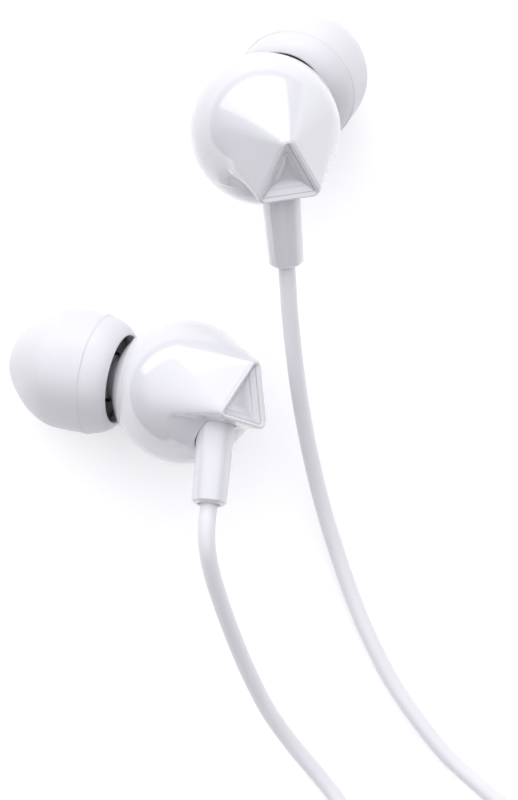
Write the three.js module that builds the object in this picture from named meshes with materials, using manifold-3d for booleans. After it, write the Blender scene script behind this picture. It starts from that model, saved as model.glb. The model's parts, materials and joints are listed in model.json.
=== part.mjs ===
// Wired in-ear earphones, laid flat: two mirrored earpieces, their leads, a Y splitter,
// the main cord and a 3.5 mm plug. Millimetres, +Z up, the surface they lie on is z = 0.
// Origin: below the middle of the two earpieces' common box.
import * as THREE from 'three';
import { ConvexGeometry } from 'three/addons/geometries/ConvexGeometry.js';
import { mergeVertices } from 'three/addons/utils/BufferGeometryUtils.js';
import Module from 'manifold-3d';

const wasm = await Module();
wasm.setup();

// ---------------------------------------------------------------- driving dimensions
const GAP = 0.3; // clearance left between pieces that touch on the real object
const CUTTER = 40; // edge of a cutting box, larger than an earpiece
const ROUND = 20; // sides of a small turned piece
const degrees = THREE.MathUtils.degToRad;

// Housing: a ball that runs out into a triangular beak. Local frame of an earpiece:
// origin at the ball's centre, +X out through the beak, +Z up, the stem below.
const BALL_RADIUS = 7.0;
const BALL_RINGS = [24, 14]; // round the ball, and from pole to pole
const WALL = 0.8;
const BEAK_REACH = 9.4;
const BEAK_BASE = 6.33;
const BEAK_HEIGHT = 6.75;
const BEAK_LOW_Z = -2.33;
const BEAK_CORNER_RADIUS = 0.6;
const KEEL_SLOPE = degrees(4.6);
const CAVITY_RADIUS = BALL_RADIUS - WALL;
const CAVITY_REACH = 7.0;
const CAVITY_BEAK_INSET = 1.45;
const CAP_INSET = 0.45;
const CAP_POCKET_X = 7.9;
const CAP_FLOOR_X = 8.55;
const CAP_FLOOR_INSET = 1.55;

// Stem under the beak, where the lead comes out.
const STEM_TOP = new THREE.Vector3(5.6, 0, -2.0);
const STEM_LEAN = degrees(12);
const STEM_LENGTH = 8.4;
const STEM_INSIDE = 0.6;
const STEM_TOP_RADIUS = 1.85;
const STEM_END_RADIUS = 1.6;
const STEM_CHAMFER = 0.25;

// Nozzle axis: turned 33.7 degrees from the inward axis, level with the ball's centre.
const NOZZLE_TURN = degrees(33.7);
const FRONT_SEAM = 4.6;
const NOZZLE_RADIUS = 2.2;
const NOZZLE_BORE = 1.5;
const NOZZLE_END = 13.1;

// Ear tip, measured along the nozzle axis from the ball's centre.
const TIP_RIM = 6.3;
const TIP_END = 17.4;
const TIP_RADIUS = 5.95;
const TIP_BORE = 1.7;
const CORE_BORE = 2.75;
const CORE_RADIUS = 3.5;
const CORE_BACK = 7.4;
const CORE_FRONT = 13.6;

// Driver, a stack measured along the nozzle axis from the ball's centre.
const DRIVER_RADIUS = 4.0;
const DRIVER_BACK = 1.4;
const YOKE_RADIUS = 3.1;
const MAGNET_RADIUS = 2.0;
const MAGNET_BACK = 1.9;
const MAGNET_FRONT = 2.6;
const TOP_PLATE_BACK = 2.9;
const TOP_PLATE_FRONT = 3.2;
const VOICE_COIL_RADIUS = 2.2;
const VOICE_COIL_WALL = 0.22;
const GASKET_BACK = 4.25;
const GASKET_THICKNESS = 0.3;
const BOARD_RADIUS = 1.9;
const BOARD_THICKNESS = 0.5;
const BOARD_BACK = 0.2;

// Sound filter in the nozzle.
const MESH_BACK = 12.5;
const MESH_THICKNESS = 0.2;
const FELT_BACK = 9.0;
const FELT_THICKNESS = 0.8;

// Where the two earpieces lie, each standing on its ear tip.
const LEFT_PLACE = { centre: [-0.3, -13.0, 8.93], turn: [-96, 13, -47] };
const RIGHT_PLACE = { centre: [7.45, 11.3, 14.46], turn: [-53, -2, -77] };

// Cords.
const LEAD_DIAMETER = 1.6;
const MAIN_DIAMETER = 2.2;
const COIL_BASE = 0.65; // the coils lie on their ties
const TIE_THICKNESS = 0.35;
const TIE_WIDTH = 4;

const LEFT_COIL = { centre: [-0.1, -71.6], enters: -20, turns: 3.889, layers: 2, middle: 8.38 };
const RIGHT_COIL = { centre: [26.3, -69.6], enters: 3, turns: 3.26, layers: 2, middle: 9.61 };
const MAIN_COIL = { centre: [-1.6, -98.9], enters: -90, turns: 11.54, layers: 4, middle: 11.46 };

// Routes on the surface, chosen by hand: exit to coil, and coil to the next piece.
const LEFT_LEAD_OUT = [
  [2.1, -25.5, 15.9], [2.15, -27.6, 15.7], [2.55, -29.9, 14.5], [3.3, -32.7, 12.5],
  [4.5, -36.5, 9.7], [6.0, -40.5, 6.8], [7.9, -44.6, 4.1], [10.4, -48.4, 2.1],
  [13.1, -51.8, 1.1], [15.0, -54.4, 0.82], [16.1, -57.1, 0.82], [16.2, -60.1, 0.82],
  [15.1, -63.6, 0.82], [13.0, -67.6, 0.9], [11.2, -71.2, 1.2],
];
const LEFT_LEAD_BACK = [
  [11.3, -73.4, 2.9], [13.4, -78.2, 2.0], [15.7, -82.6, 1.1], [16.8, -86.4, 1.2],
];
const RIGHT_LEAD_OUT = [
  [9.6, -2.9, 13.2], [9.8, -5.6, 12.0], [10.3, -9.9, 9.7], [10.9, -13.9, 7.5],
  [11.7, -18.0, 5.3], [12.6, -21.9, 3.4], [13.7, -25.9, 2.0], [15.0, -29.9, 1.1],
  [16.4, -33.9, 0.82], [18.1, -37.9, 0.82], [20.2, -42.0, 0.82], [22.9, -46.0, 0.82],
  [26.0, -49.8, 0.82], [29.5, -53.0, 0.82], [32.8, -56.0, 0.82], [35.2, -59.6, 0.82],
  [36.7, -63.8, 0.95],
];
const RIGHT_LEAD_BACK = [
  [23.3, -81.1, 2.5], [20.9, -82.7, 1.7], [19.5, -85.2, 1.2], [19.2, -88.0, 1.6],
];
const MAIN_CORD_OUT = [
  [18.0, -106.9, 1.8], [17.0, -109.4, 1.5], [14.8, -111.5, 1.5], [11.6, -112.9, 1.6],
  [7.4, -113.6, 1.7], [2.8, -113.8, 1.75],
];
const MAIN_CORD_BACK = [
  [7.2, -85.9, 8.3], [12.4, -87.0, 7.9], [17.6, -88.0, 7.1], [22.3, -89.5, 5.6],
  [25.8, -92.2, 4.0], [27.3, -95.7, 3.1],
];

// Splitter: two halves around a crimp, leads in at the wide end.
const SPLITTER_TOP = [18.1, -90.9];
const SPLITTER_LENGTH = 13;
const SPLITTER_WIDE = 6.4;
const SPLITTER_NARROW = 4.8;
const SPLITTER_HEIGHT = 4.4;
const SPLITTER_PORT = 1.1;
const SPLITTER_POCKET = [3.2, 6.6, 2.8];
const CRIMP_BORE = 0.7;
const CRIMP_RADIUS = 1.05;
const CRIMP_LENGTH = 5.4;

// Plug, lying with its axis along -Y.
const PLUG_START = [27.7, -99.2];
const GRIP_RADIUS = 2.9;
const GRIP_LENGTH = 14;
const RELIEF_LENGTH = 8;
const GRIP_RECESS = 1.0; // the sleeve starts this deep inside the grip's shoulder
const CONTACT_RADIUS = 1.75;

// ---------------------------------------------------------------- small helpers
const group = new THREE.Group();

const finishes = {
  shell: [0xf6f5f8, 0.18, 0],
  silicone: [0xf1f0f3, 0.5, 0],
  core: [0x2b2b30, 0.6, 0],
  cord: [0xf0eff2, 0.45, 0],
  steel: [0xb9bbc0, 0.3, 1],
  magnet: [0x9a9ba2, 0.25, 1],
  copper: [0xb8703a, 0.4, 1],
  film: [0xd8cfa8, 0.35, 0],
  frame: [0x24252a, 0.5, 0],
  foam: [0x3a3a40, 0.9, 0],
  board: [0x1f6b3a, 0.5, 0],
  gold: [0xd9b35c, 0.25, 1],
};

function add(parent, name, geometry, finish) {
  const [color, roughness, metalness] = finishes[finish];
  const material = new THREE.MeshStandardMaterial({ color, roughness, metalness });
  const mesh = new THREE.Mesh(geometry, material);
  mesh.name = name;
  parent.add(mesh);
  return mesh;
}

function solid(geometry) {
  let shape = geometry.clone();
  shape.deleteAttribute('normal');
  shape.deleteAttribute('uv');
  shape = mergeVertices(shape, 1e-4);
  return new wasm.Manifold(
    new wasm.Mesh({
      numProp: 3,
      vertProperties: Float32Array.from(shape.attributes.position.array),
      triVerts: Uint32Array.from(shape.index.array),
    }),
  );
}

function geometryOf(manifold) {
  const mesh = manifold.getMesh();
  const geometry = new THREE.BufferGeometry();
  geometry.setAttribute('position', new THREE.BufferAttribute(mesh.vertProperties, 3));
  geometry.setIndex(new THREE.BufferAttribute(mesh.triVerts, 1));
  geometry.computeVertexNormals();
  return geometry;
}

// A closed profile of [radius, height] pairs turned about the local Y axis.
function turned(profile, segments) {
  const points = profile.map(([radius, height]) => new THREE.Vector2(radius, height));
  if (profile[0][0] !== 0) {
    points.push(points[0].clone());
  }
  return new THREE.LatheGeometry(points, segments);
}

function disc(radius, from, to, segments) {
  return turned([[0, from], [radius, from], [radius, to], [0, to]], segments);
}

function tube(points, diameter, steps) {
  const curve = new THREE.CatmullRomCurve3(points, false, 'centripetal');
  const section = new THREE.Shape();
  section.absarc(0, 0, diameter / 2, 0, 2 * Math.PI);
  return new THREE.ExtrudeGeometry(section, {
    extrudePath: curve,
    steps,
    curveSegments: 4,
  });
}

// ---------------------------------------------------------------- housing
// The beak's rounded triangle, drawn in (y, z) and set in by the given distance.
function beakOutline(inset) {
  const apexZ = BEAK_LOW_Z + BEAK_HEIGHT;
  const halfApex = Math.atan2(BEAK_BASE / 2, BEAK_HEIGHT);
  const radius = Math.max(BEAK_CORNER_RADIUS - inset, 0.15);
  const reach = inset + radius;
  const top = apexZ - reach / Math.sin(halfApex);
  const low = BEAK_LOW_Z + reach;
  const side = (top - low) * Math.tan(halfApex);
  const shape = new THREE.Shape();
  shape.absarc(0, top, radius, halfApex, Math.PI - halfApex);
  shape.absarc(-side, low, radius, Math.PI - halfApex, 1.5 * Math.PI);
  shape.absarc(side, low, radius, 1.5 * Math.PI, 2 * Math.PI + halfApex);
  return shape;
}

function beakPoints(inset, x) {
  return beakOutline(inset)
    .getPoints(3)
    .map((point) => new THREE.Vector3(x, point.x, point.y));
}

function ballPoints(radius) {
  const position = new THREE.SphereGeometry(radius, ...BALL_RINGS).attributes.position;
  const points = [];
  for (let i = 0; i < position.count; i += 1) {
    points.push(new THREE.Vector3().fromBufferAttribute(position, i));
  }
  return points;
}

// The ball lofted tangentially into a triangle at x = reach.
function loftedBall(radius, inset, reach) {
  return solid(new ConvexGeometry([...ballPoints(radius), ...beakPoints(inset, reach)]));
}

function outerForm() {
  const below = new THREE.BoxGeometry(CUTTER, CUTTER, CUTTER / 2);
  below.translate(-CUTTER / 2, 0, -CUTTER / 4);
  below.rotateY(-KEEL_SLOPE);
  below.translate(BEAK_REACH + 1, 0, BEAK_LOW_Z + Math.tan(KEEL_SLOPE));
  const beak = loftedBall(BALL_RADIUS, 0, BEAK_REACH).subtract(solid(below));
  const ball = solid(new THREE.SphereGeometry(BALL_RADIUS, ...BALL_RINGS));
  return beak.add(ball);
}

function prism(inset, fromX, toX) {
  return solid(new ConvexGeometry([...beakPoints(inset, fromX), ...beakPoints(inset, toX)]));
}

function stemMatrix() {
  const down = new THREE.Vector3(Math.sin(STEM_LEAN), 0, -Math.cos(STEM_LEAN));
  const turn = new THREE.Quaternion().setFromUnitVectors(new THREE.Vector3(0, 1, 0), down);
  return new THREE.Matrix4().compose(STEM_TOP, turn, new THREE.Vector3(1, 1, 1));
}

function nozzleTurn(side) {
  const axis = new THREE.Vector3(-Math.cos(NOZZLE_TURN), side * Math.sin(NOZZLE_TURN), 0);
  return new THREE.Quaternion().setFromUnitVectors(new THREE.Vector3(0, 1, 0), axis);
}

function rearShell(side) {
  const ahead = new THREE.BoxGeometry(CUTTER, CUTTER / 2, CUTTER);
  ahead.translate(0, FRONT_SEAM + CUTTER / 4, 0);
  ahead.applyQuaternion(nozzleTurn(side));
  const bore = disc(STEM_TOP_RADIUS + GAP, -STEM_INSIDE - 1, STEM_LENGTH, ROUND);
  bore.applyMatrix4(stemMatrix());
  return geometryOf(
    outerForm()
      .subtract(loftedBall(CAVITY_RADIUS, CAVITY_BEAK_INSET, CAVITY_REACH))
      .subtract(prism(CAP_INSET, CAP_POCKET_X, BEAK_REACH + 1))
      .subtract(solid(ahead))
      .subtract(solid(bore)),
  );
}

function triangleCap() {
  const plate = prism(CAP_INSET + GAP, CAP_POCKET_X + GAP, BEAK_REACH - 0.05);
  const dish = solid(
    new ConvexGeometry([
      ...beakPoints(CAP_FLOOR_INSET, CAP_FLOOR_X),
      ...beakPoints(CAP_INSET + GAP + 0.2, BEAK_REACH),
    ]),
  );
  return geometryOf(plate.subtract(dish));
}

function stem() {
  const bore = LEAD_DIAMETER / 2 + GAP;
  return turned(
    [
      [bore, -STEM_INSIDE],
      [STEM_TOP_RADIUS, -STEM_INSIDE],
      [STEM_END_RADIUS + 0.03, STEM_LENGTH - STEM_CHAMFER],
      [STEM_END_RADIUS - STEM_CHAMFER, STEM_LENGTH],
      [bore, STEM_LENGTH],
    ],
    ROUND,
  );
}

// The lead's inner end: an overhand knot above the stem and the tail down its bore.
function cordKnot() {
  const radius = LEAD_DIAMETER / 2;
  return turned(
    [
      [0, -3.4], [0.9, -3.2], [1.45, -2.6], [1.55, -2.1], [1.35, -1.5],
      [radius, -1.0], [radius, STEM_LENGTH - 2 * GAP], [0, STEM_LENGTH - 2 * GAP],
    ],
    12,
  );
}

// ---------------------------------------------------------------- nozzle and ear tip
function frontShell() {
  const base = FRONT_SEAM + GAP;
  const at = (radius, height) => Math.sqrt(radius * radius - height * height);
  return turned(
    [
      [at(CAVITY_RADIUS, base), base],
      [at(BALL_RADIUS, base), base],
      [at(BALL_RADIUS, 5.6), 5.6],
      [at(BALL_RADIUS, 6.2), 6.2],
      [NOZZLE_RADIUS + 0.35, 6.6],
      [NOZZLE_RADIUS, 7.0],
      [NOZZLE_RADIUS, 12.1],
      [NOZZLE_RADIUS + 0.2, 12.3],
      [NOZZLE_RADIUS + 0.2, 12.7],
      [NOZZLE_RADIUS, NOZZLE_END],
      [NOZZLE_BORE + 0.3, NOZZLE_END],
      [NOZZLE_BORE + 0.3, 12.3],
      [NOZZLE_BORE, 12.3],
      [NOZZLE_BORE, 6.1],
      [at(CAVITY_RADIUS, 5.5), 5.5],
    ],
    18,
  );
}

function nozzleMesh() {
  return disc(NOZZLE_BORE + 0.15, MESH_BACK, MESH_BACK + MESH_THICKNESS, ROUND);
}

function dampingFelt() {
  return disc(NOZZLE_BORE - 0.1, FELT_BACK, FELT_BACK + FELT_THICKNESS, ROUND);
}

function tipDome() {
  return turned(
    [
      [4.0, TIP_RIM + 0.1], [4.4, TIP_RIM], [5.16, 6.9], [5.6, 8.1], [5.85, 9.4],
      [TIP_RADIUS, 10.9], [TIP_RADIUS, 12.3], [5.55, 13.6], [4.9, 14.7], [3.9, 16.0],
      [2.8, 17.0], [2.1, TIP_END], [TIP_BORE, TIP_END - 0.2], [TIP_BORE, CORE_FRONT + GAP],
      [4.0, CORE_FRONT + GAP], [4.85, 12.6], [5.1, 11.0], [4.9, 8.6],
    ],
    22,
  );
}

function tipCore() {
  return turned(
    [
      [CORE_BORE, CORE_BACK], [CORE_RADIUS, CORE_BACK], [CORE_RADIUS, CORE_FRONT],
      [CORE_BORE, CORE_FRONT],
    ],
    ROUND,
  );
}

// ---------------------------------------------------------------- driver
// A steel cup round the magnet.
function driverYoke() {
  const back = MAGNET_BACK - GAP;
  const wall = 0.5;
  const base = 0.6;
  return turned(
    [
      [0, back - base], [YOKE_RADIUS, back - base], [YOKE_RADIUS, 3.0],
      [YOKE_RADIUS - wall, 3.0], [YOKE_RADIUS - wall, back], [0, back],
    ],
    ROUND,
  );
}

function driverMagnet() {
  return disc(MAGNET_RADIUS, MAGNET_BACK, MAGNET_FRONT, ROUND);
}

function driverTopPlate() {
  return disc(MAGNET_RADIUS + 0.05, TOP_PLATE_BACK, TOP_PLATE_FRONT, ROUND);
}

function voiceCoil() {
  const outer = VOICE_COIL_RADIUS + VOICE_COIL_WALL;
  const back = 2.7;
  const front = 3.55;
  return turned(
    [[VOICE_COIL_RADIUS, back], [outer, back], [outer, front], [VOICE_COIL_RADIUS, front]],
    ROUND,
  );
}

function driverFrame() {
  return turned(
    [
      [3.4, DRIVER_BACK], [DRIVER_RADIUS, DRIVER_BACK], [DRIVER_RADIUS, 4.1], [3.75, 4.1],
      [3.75, 3.72], [3.4, 3.72],
    ],
    ROUND,
  );
}

function diaphragm() {
  return turned(
    [
      [0, 4.25], [1.4, 4.12], [2.4, 3.85], [3.0, 4.12], [3.4, 3.85], [3.65, 3.85],
      [3.65, 4.0], [3.4, 4.0], [3.0, 4.27], [2.4, 4.0], [1.4, 4.27], [0, 4.4],
    ],
    16,
  );
}

function driverGasket() {
  const inner = 3.3;
  const outer = 3.95;
  const front = GASKET_BACK + GASKET_THICKNESS;
  return turned(
    [[inner, GASKET_BACK], [outer, GASKET_BACK], [outer, front], [inner, front]],
    ROUND,
  );
}

function terminalBoard() {
  const outline = new THREE.Shape();
  outline.absarc(0, 0, BOARD_RADIUS, degrees(-60), degrees(240));
  const board = new THREE.ExtrudeGeometry(outline, {
    depth: BOARD_THICKNESS,
    bevelEnabled: false,
    curveSegments: 10,
  });
  board.rotateX(-Math.PI / 2);
  board.translate(0, BOARD_BACK, 0);
  return board;
}

// ---------------------------------------------------------------- one earpiece
function earpiece(sideName, side, place) {
  const body = new THREE.Group();
  body.position.set(...place.centre);
  body.rotation.set(...place.turn.map(degrees), 'XYZ');
  group.add(body);

  add(body, `${sideName}_rear_shell`, rearShell(side), 'shell');
  add(body, `${sideName}_triangle_cap`, triangleCap(), 'shell');

  const stemGroup = new THREE.Group();
  stemGroup.applyMatrix4(stemMatrix());
  body.add(stemGroup);
  add(stemGroup, `${sideName}_stem`, stem(), 'shell');
  add(stemGroup, `${sideName}_cord_knot`, cordKnot(), 'cord');

  const nozzle = new THREE.Group();
  nozzle.quaternion.copy(nozzleTurn(side));
  body.add(nozzle);
  add(nozzle, `${sideName}_front_shell`, frontShell(), 'shell');
  add(nozzle, `${sideName}_nozzle_mesh`, nozzleMesh(), 'steel');
  add(nozzle, `${sideName}_damping_felt`, dampingFelt(), 'foam');
  add(nozzle, `${sideName}_eartip_dome`, tipDome(), 'silicone');
  add(nozzle, `${sideName}_eartip_core`, tipCore(), 'core');
  add(nozzle, `${sideName}_driver_frame`, driverFrame(), 'frame');
  add(nozzle, `${sideName}_driver_yoke`, driverYoke(), 'steel');
  add(nozzle, `${sideName}_driver_magnet`, driverMagnet(), 'magnet');
  add(nozzle, `${sideName}_driver_top_plate`, driverTopPlate(), 'steel');
  add(nozzle, `${sideName}_voice_coil`, voiceCoil(), 'copper');
  add(nozzle, `${sideName}_diaphragm`, diaphragm(), 'film');
  add(nozzle, `${sideName}_driver_gasket`, driverGasket(), 'foam');
  add(nozzle, `${sideName}_terminal_board`, terminalBoard(), 'board');

  body.updateMatrixWorld(true);
  const end = new THREE.Vector3(0, STEM_LENGTH - GAP, 0);
  return end.applyMatrix4(stemGroup.matrixWorld);
}

// ---------------------------------------------------------------- cords
// A coil is wound clockwise from its outside: each layer spirals in or out by a diameter a
// turn, and the next layer lies on it. Gives the sizes of the ring that the turns fill.
function ringOf(coil, diameter) {
  const span = (coil.turns / coil.layers) * diameter;
  return {
    inner: coil.middle - span / 2 - diameter / 2,
    outer: coil.middle + span / 2 + diameter / 2,
    height: coil.layers * diameter,
  };
}

function coilRing(coil, diameter) {
  const { inner, outer, height } = ringOf(coil, diameter);
  const top = COIL_BASE + height;
  const bevel = diameter * 0.25;
  const ring = turned(
    [
      [inner, top - bevel], [inner, COIL_BASE + bevel], [inner + bevel, COIL_BASE],
      [outer - bevel, COIL_BASE], [outer, COIL_BASE + bevel], [outer, top - bevel],
      [outer - bevel, top], [inner + bevel, top],
    ],
    32,
  );
  ring.rotateX(Math.PI / 2);
  ring.translate(coil.centre[0], coil.centre[1], 0);
  return ring;
}

// A flat band around the ring's section, at the given bearing from the coil's centre.
function coilTie(coil, diameter, bearing) {
  const { inner, outer, height } = ringOf(coil, diameter);
  const low = TIE_THICKNESS;
  const high = COIL_BASE + height + GAP;
  const loop = new THREE.Shape();
  const rect = (path, x0, z0, x1, z1) => {
    path.moveTo(x0, z0);
    path.lineTo(x1, z0);
    path.lineTo(x1, z1);
    path.lineTo(x0, z1);
    path.closePath();
  };
  rect(loop, inner - 2 * GAP - TIE_THICKNESS, 0, outer + 2 * GAP + TIE_THICKNESS,
    high + TIE_THICKNESS);
  const hole = new THREE.Path();
  rect(hole, inner - 2 * GAP, low, outer + 2 * GAP, high);
  loop.holes.push(hole);
  const band = new THREE.ExtrudeGeometry(loop, { depth: TIE_WIDTH, bevelEnabled: false });
  band.translate(0, 0, -TIE_WIDTH / 2);
  band.rotateX(Math.PI / 2);
  band.rotateZ(degrees(bearing));
  band.translate(coil.centre[0], coil.centre[1], 0);
  return band;
}

// A point of the coil's centreline at the start or end of its winding.
function coilEnd(coil, diameter, atStart) {
  const bearing = degrees(coil.enters) - (atStart ? 0 : 2 * Math.PI * coil.turns);
  const radius = ringOf(coil, diameter).outer - diameter / 2;
  const layer = atStart ? 0 : coil.layers - 1;
  return new THREE.Vector3(
    coil.centre[0] + radius * Math.cos(bearing),
    coil.centre[1] + radius * Math.sin(bearing),
    COIL_BASE + (layer + 0.5) * diameter,
  );
}

// The stretch of a route that lies clear of a coil's ring.
function clearOf(coil, diameter, points) {
  const curve = new THREE.CatmullRomCurve3(points, false, 'centripetal');
  const keep = ringOf(coil, diameter).outer + diameter / 2 + GAP;
  const middle = new THREE.Vector2(...coil.centre);
  return curve
    .getSpacedPoints(200)
    .filter((point) => middle.distanceTo(new THREE.Vector2(point.x, point.y)) > keep);
}

function thinned(points, count) {
  const last = points.length - 1;
  return Array.from({ length: count }, (_, i) => points[Math.round((i * last) / (count - 1))]);
}

const vectors = (route) => route.map((point) => new THREE.Vector3(...point));

function lead(sideName, exit, out, coil, back, port, steps) {
  const before = clearOf(coil, LEAD_DIAMETER, [
    exit,
    ...vectors(out),
    coilEnd(coil, LEAD_DIAMETER, true),
  ]);
  const after = clearOf(coil, LEAD_DIAMETER, [
    coilEnd(coil, LEAD_DIAMETER, false),
    ...vectors(back),
    port,
  ]);
  add(group, `${sideName}_lead`, tube(thinned(before, 26), LEAD_DIAMETER, steps), 'cord');
  add(group, `${sideName}_lead_coil`, coilRing(coil, LEAD_DIAMETER), 'cord');
  add(group, `${sideName}_lead_tail`, tube(thinned(after, 10), LEAD_DIAMETER, 8), 'cord');
}

function mainCord(start, end) {
  const before = clearOf(MAIN_COIL, MAIN_DIAMETER, [
    start,
    ...vectors(MAIN_CORD_OUT),
    coilEnd(MAIN_COIL, MAIN_DIAMETER, true),
  ]);
  const after = clearOf(MAIN_COIL, MAIN_DIAMETER, [
    coilEnd(MAIN_COIL, MAIN_DIAMETER, false),
    ...vectors(MAIN_CORD_BACK),
    end,
  ]);
  add(group, 'main_cord', tube(thinned(before, 5), MAIN_DIAMETER, 3), 'cord');
  add(group, 'main_cord_coil', coilRing(MAIN_COIL, MAIN_DIAMETER), 'cord');
  add(group, 'main_cord_tail', tube(thinned(after, 10), MAIN_DIAMETER, 7), 'cord');
}

// ---------------------------------------------------------------- splitter
function splitterOutline(inset) {
  const wide = SPLITTER_WIDE / 2 - inset;
  const narrow = SPLITTER_NARROW / 2 - inset;
  const top = -inset;
  const low = inset - SPLITTER_LENGTH;
  const radius = 1.1;
  const shape = new THREE.Shape();
  shape.absarc(wide - radius, top - radius, radius, 0, Math.PI / 2);
  shape.absarc(radius - wide, top - radius, radius, Math.PI / 2, Math.PI);
  shape.absarc(radius - narrow, low + radius, radius, Math.PI, 1.5 * Math.PI);
  shape.absarc(narrow - radius, low + radius, radius, 1.5 * Math.PI, 2 * Math.PI);
  return shape;
}

function splitterHalf(fromZ, toZ) {
  const body = new THREE.ExtrudeGeometry(splitterOutline(0), {
    depth: toZ - fromZ,
    bevelEnabled: false,
    curveSegments: 5,
  });
  body.translate(0, 0, fromZ);
  const pocket = new THREE.BoxGeometry(...SPLITTER_POCKET);
  pocket.translate(0, -SPLITTER_LENGTH / 2, SPLITTER_HEIGHT / 2);
  return geometryOf(solid(body).subtract(solid(pocket)));
}

function splitter() {
  const body = new THREE.Group();
  body.position.set(...SPLITTER_TOP, 0);
  group.add(body);
  const middle = SPLITTER_HEIGHT / 2;
  add(body, 'splitter_base', splitterHalf(0, middle - GAP / 2), 'shell');
  add(body, 'splitter_cover', splitterHalf(middle + GAP / 2, SPLITTER_HEIGHT), 'shell');
  const crimp = turned(
    [
      [CRIMP_BORE, 0], [CRIMP_RADIUS, 0], [CRIMP_RADIUS, CRIMP_LENGTH],
      [CRIMP_BORE, CRIMP_LENGTH],
    ],
    14,
  );
  crimp.translate(0, -(SPLITTER_LENGTH + CRIMP_LENGTH) / 2, middle);
  add(body, 'splitter_crimp', crimp, 'gold');
}

// ---------------------------------------------------------------- plug
// Contacts from the grip outwards along the plug's axis: [name, from, to, finish].
const CONTACTS = [
  ['plug_sleeve', -GRIP_RECESS, 7.2, 'gold'],
  ['plug_rear_insulator', 7.5, 7.9, 'frame'],
  ['plug_ring', 8.2, 9.9, 'gold'],
  ['plug_front_insulator', 10.2, 10.6, 'frame'],
];

function plug() {
  const body = new THREE.Group();
  body.position.set(...PLUG_START, GRIP_RADIUS);
  body.rotation.z = Math.PI;
  group.add(body);
  const grip = RELIEF_LENGTH + GAP;
  const shoulder = grip + GRIP_LENGTH;
  const metal = shoulder + GAP;
  add(
    body,
    'plug_strain_relief',
    turned(
      [[0, 0], [1.35, 0], [1.5, 0.5], [1.9, RELIEF_LENGTH - 1], [1.9, RELIEF_LENGTH],
        [0, RELIEF_LENGTH]],
      18,
    ),
    'cord',
  );
  add(
    body,
    'plug_grip',
    turned(
      [[0, grip], [2.3, grip], [2.7, grip + 0.6], [GRIP_RADIUS, grip + 3],
        [GRIP_RADIUS, shoulder - 0.3], [GRIP_RADIUS - 0.3, shoulder],
        [CONTACT_RADIUS + GAP, shoulder], [CONTACT_RADIUS + GAP, shoulder - GRIP_RECESS],
        [0, shoulder - GRIP_RECESS]],
      24,
    ),
    'shell',
  );
  for (const [name, from, to, finish] of CONTACTS) {
    add(body, name, disc(CONTACT_RADIUS, metal + from, metal + to, 18), finish);
  }
  const tip = metal + 10.9;
  add(
    body,
    'plug_tip',
    turned(
      [[0, tip], [1.65, tip], [1.3, tip + 0.8], [1.7, tip + 1.5], [1.1, tip + 2.8],
        [0.4, tip + 3.1], [0, tip + 3.1]],
      18,
    ),
    'gold',
  );
}

// ---------------------------------------------------------------- assembly
const leftExit = earpiece('left', -1, LEFT_PLACE);
const rightExit = earpiece('right', 1, RIGHT_PLACE);

const portY = SPLITTER_TOP[1] + GAP;
const portZ = SPLITTER_HEIGHT / 2;
const leftPort = new THREE.Vector3(SPLITTER_TOP[0] - SPLITTER_PORT, portY, portZ);
const rightPort = new THREE.Vector3(SPLITTER_TOP[0] + SPLITTER_PORT, portY, portZ);
lead('left', leftExit, LEFT_LEAD_OUT, LEFT_COIL, LEFT_LEAD_BACK, leftPort, 20);
lead('right', rightExit, RIGHT_LEAD_OUT, RIGHT_COIL, RIGHT_LEAD_BACK, rightPort, 24);

const mainStart = new THREE.Vector3(
  SPLITTER_TOP[0],
  SPLITTER_TOP[1] - SPLITTER_LENGTH - GAP,
  portZ,
);
const mainEnd = new THREE.Vector3(PLUG_START[0], PLUG_START[1] + GAP, GRIP_RADIUS);
mainCord(mainStart, mainEnd);

add(group, 'left_lead_tie', coilTie(LEFT_COIL, LEAD_DIAMETER, 200), 'frame');
add(group, 'right_lead_tie', coilTie(RIGHT_COIL, LEAD_DIAMETER, 110), 'frame');
add(group, 'main_cord_tie', coilTie(MAIN_COIL, MAIN_DIAMETER, 235), 'frame');
splitter();
plug();

export default group;
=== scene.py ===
"""Wired earphones: the looks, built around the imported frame. Lengths here are in millimetres."""
import json
import math

import bmesh
import bpy
import numpy as np
from mathutils import Matrix, Vector


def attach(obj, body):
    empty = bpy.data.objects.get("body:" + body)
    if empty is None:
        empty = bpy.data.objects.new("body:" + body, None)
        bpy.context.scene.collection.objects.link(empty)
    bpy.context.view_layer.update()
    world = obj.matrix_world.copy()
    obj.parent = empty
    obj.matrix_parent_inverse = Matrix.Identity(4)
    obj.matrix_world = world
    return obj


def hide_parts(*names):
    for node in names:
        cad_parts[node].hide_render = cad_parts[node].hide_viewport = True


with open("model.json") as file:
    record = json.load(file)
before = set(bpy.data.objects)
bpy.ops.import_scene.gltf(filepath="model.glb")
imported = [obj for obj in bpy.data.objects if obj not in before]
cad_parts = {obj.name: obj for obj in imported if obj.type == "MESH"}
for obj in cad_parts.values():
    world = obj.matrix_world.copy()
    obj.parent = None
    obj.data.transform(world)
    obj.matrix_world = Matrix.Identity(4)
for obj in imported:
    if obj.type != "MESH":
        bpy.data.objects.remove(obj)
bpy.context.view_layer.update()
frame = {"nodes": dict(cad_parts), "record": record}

MM = 0.001

# ---------------------------------------------------------------- driving dimensions
BALL_RADIUS = 7.0
CAVITY_RADIUS = 6.2
BEAK_REACH = 9.4
BEAK_BASE = 6.33
BEAK_HEIGHT = 6.75
BEAK_LOW_Z = -2.33
BEAK_CORNER_RADIUS = 0.6
KEEL_SLOPE = math.radians(4.6)
FRONT_SEAM = 4.6

STEM_TOP = Vector((5.6, 0, -2.0))
STEM_LEAN = math.radians(12)
STEM_LENGTH = 8.4
STEM_TOP_RADIUS = 1.85
STEM_END_RADIUS = 1.6

NOZZLE_TURN = math.radians(33.7)

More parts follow.
